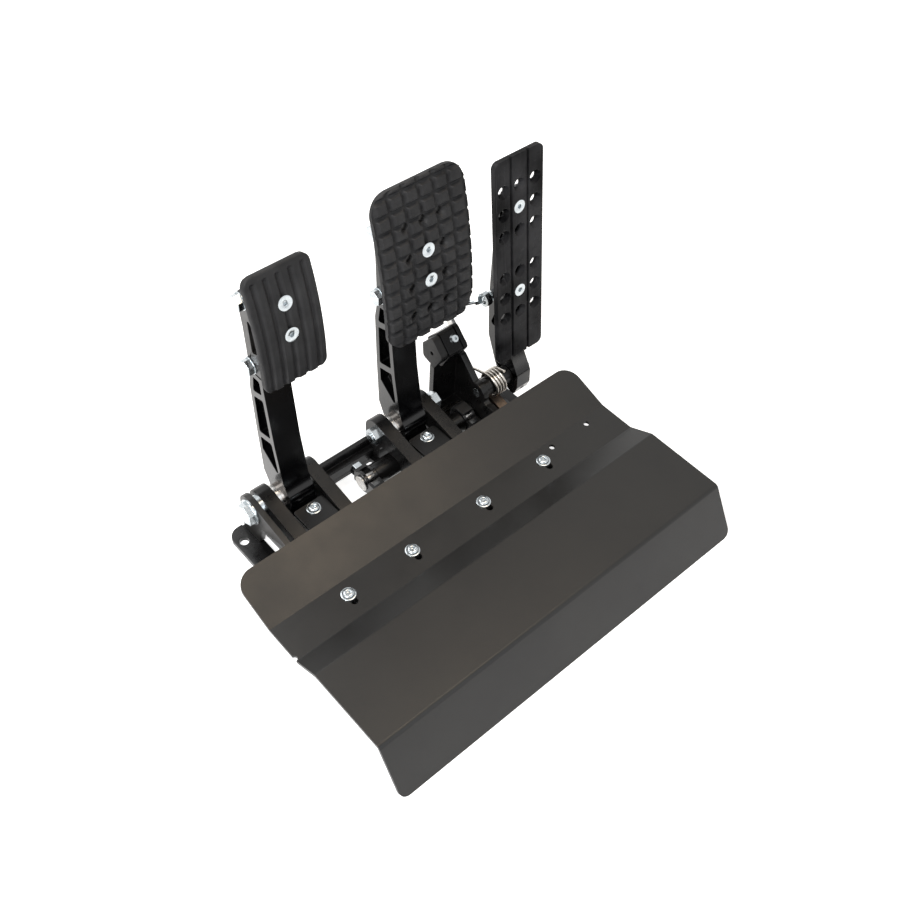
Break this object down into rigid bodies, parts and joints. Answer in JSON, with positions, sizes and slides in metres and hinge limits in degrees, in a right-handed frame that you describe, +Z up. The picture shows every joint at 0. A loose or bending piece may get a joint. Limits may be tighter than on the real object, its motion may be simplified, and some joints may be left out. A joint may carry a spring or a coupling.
{
  "type": "sim racing pedal set",
  "caption": "Floor mounted clutch, brake and throttle pedals on a black metal frame behind a folded heel plate, with hydraulic cylinders, a sprung throttle and a position sensor.",
  "frame": {"origin": "centre of the rectangle of floor bolts, on the floor", "axes": "+X across the set from the clutch to the throttle, +Y away from the driver, +Z up"},
  "size_m": [0.4, 0.3186, 0.3249],
  "materials": {
    "plate_metal": "satin dark grey anodised sheet",
    "frame_black": "satin black anodised",
    "pedal_black": "satin black anodised",
    "bracket_black": "satin black anodised",
    "pad_rubber": "matte",
    "soft_rubber": "matte",
    "zinc": "zinc plated",
    "steel": "turned",
    "spring_steel": "drawn wire",
    "bronze": "turned",
    "cylinder_metal": "satin",
    "black_plastic": "matte",
    "grey_plastic": "matte"
  },
  "bodies": {
    "frame": {"base_plate": "frame_black", "front_beam": "frame_black", "rear_rail": "frame_black", "base_screws": "steel", "clutch_wall_left": "frame_black", "clutch_wall_right": "frame_black", "brake_wall_left": "frame_black", "brake_wall_right": "frame_black", "side_rail": "bracket_black", "pivot_spacer": "zinc", "pivot_bolts": "zinc", "brake_pivot_nut": "zinc", "thrust_rings": "steel", "heel_plate": "plate_metal", "heel_plate_screws": "zinc", "clutch_stop_plate": "frame_black", "brake_stop_plate": "frame_black", "stop_plate_screws": "zinc", "clutch_cylinder": "cylinder_metal", "brake_cylinders": "cylinder_metal", "cylinder_bolts": "zinc", "cylinder_unions": "bronze", "cylinder_boots": "soft_rubber", "throttle_bracket": "frame_black", "throttle_boss": "frame_black", "throttle_spring": "spring_steel", "spring_stop": "bronze", "sensor_housing": "black_plastic", "sensor_connector": "grey_plastic", "sensor_screws": "zinc"},
    "clutch_pedal": {"clutch_arm": "pedal_black", "clutch_bush": "bronze", "clutch_lug_pin": "steel", "clutch_pad_bracket": "bracket_black", "clutch_pad_bolts": "zinc", "clutch_pad": "pad_rubber", "clutch_pad_screws": "zinc"},
    "clutch_rod": {"clutch_pushrod": "zinc"},
    "clutch_slug": {"clutch_piston": "steel"},
    "brake_pedal": {"brake_arm": "pedal_black", "brake_bush": "bronze", "brake_pad_bracket": "bracket_black", "brake_pad_bolts": "zinc", "brake_pad": "pad_rubber", "brake_pad_screws": "zinc", "balance_sleeve": "frame_black", "balance_bearing": "steel", "balance_bar": "steel", "balance_bar_collars": "steel"},
    "brake_rods": {"brake_pushrods": "zinc", "clevis_nut": "zinc", "clevis_cover": "soft_rubber"},
    "brake_slugs": {"brake_pistons": "steel"},
    "throttle_pedal": {"throttle_arm": "pedal_black", "throttle_plate": "pedal_black", "throttle_plate_screws": "zinc", "throttle_stud": "zinc"},
    "sensor_link": {"link_rod": "zinc"},
    "sensor_arm": {"sensor_lever": "steel"}
  },
  "joints": [
    {"name": "clutch_press", "type": "hinge", "parent": "frame", "child": "clutch_pedal", "pos_m": [-0.0995, 0.073, 0.043], "axis": [-1, 0, 0], "range_deg": [0, 12], "stiffness_Nm_per_rad": 20, "springref_deg": -14.32},
    {"name": "brake_press", "type": "hinge", "parent": "frame", "child": "brake_pedal", "pos_m": [0.0335, 0.073, 0.043], "axis": [-1, 0, 0], "range_deg": [0, 8], "stiffness_Nm_per_rad": 60, "springref_deg": -6.88},
    {"name": "throttle_press", "type": "hinge", "parent": "frame", "child": "throttle_pedal", "pos_m": [0.1585, 0.054, 0.043], "axis": [-1, 0, 0], "range_deg": [0, 12], "stiffness_Nm_per_rad": 8, "springref_deg": -25.78},
    {"name": "clutch_rod_swing", "type": "hinge", "parent": "clutch_pedal", "child": "clutch_rod", "pos_m": [-0.0995, 0.054, 0.015], "axis": [-1, 0, 0], "range_deg": [-15.2, 0.2]},
    {"name": "brake_rod_swing", "type": "hinge", "parent": "brake_pedal", "child": "brake_rods", "pos_m": [0.0335, 0.054, 0.015], "axis": [-1, 0, 0], "range_deg": [-10.1, 0.2]},
    {"name": "clutch_piston_slide", "type": "slide", "parent": "frame", "child": "clutch_slug", "axis": [0, -1, 0], "range_m": [0, 0.0057]},
    {"name": "brake_piston_slide", "type": "slide", "parent": "frame", "child": "brake_slugs", "axis": [0, -1, 0], "range_m": [0, 0.0039]},
    {"name": "sensor_turn", "type": "hinge", "parent": "frame", "child": "sensor_arm", "pos_m": [0.109, 0.082, 0.088], "axis": [-1, 0, 0], "range_deg": [0, 31]},
    {"name": "link_swing", "type": "hinge", "parent": "throttle_pedal", "child": "sensor_link", "pos_m": [0.138, 0.081, 0.13], "axis": [-1, 0, 0], "range_deg": [0, 9.3]}
  ],
  "couplings": [
    {"joint": "clutch_rod_swing", "follows": "clutch_press", "ratio": -1.227},
    {"joint": "clutch_piston_slide", "follows": "clutch_press", "m_per_rad": 0.02635},
    {"joint": "brake_rod_swing", "follows": "brake_press", "ratio": -1.217},
    {"joint": "brake_piston_slide", "follows": "brake_press", "m_per_rad": 0.0269},
    {"joint": "sensor_turn", "follows": "throttle_press", "ratio": 2.534},
    {"joint": "link_swing", "follows": "throttle_press", "ratio": 0.746}
  ]
}
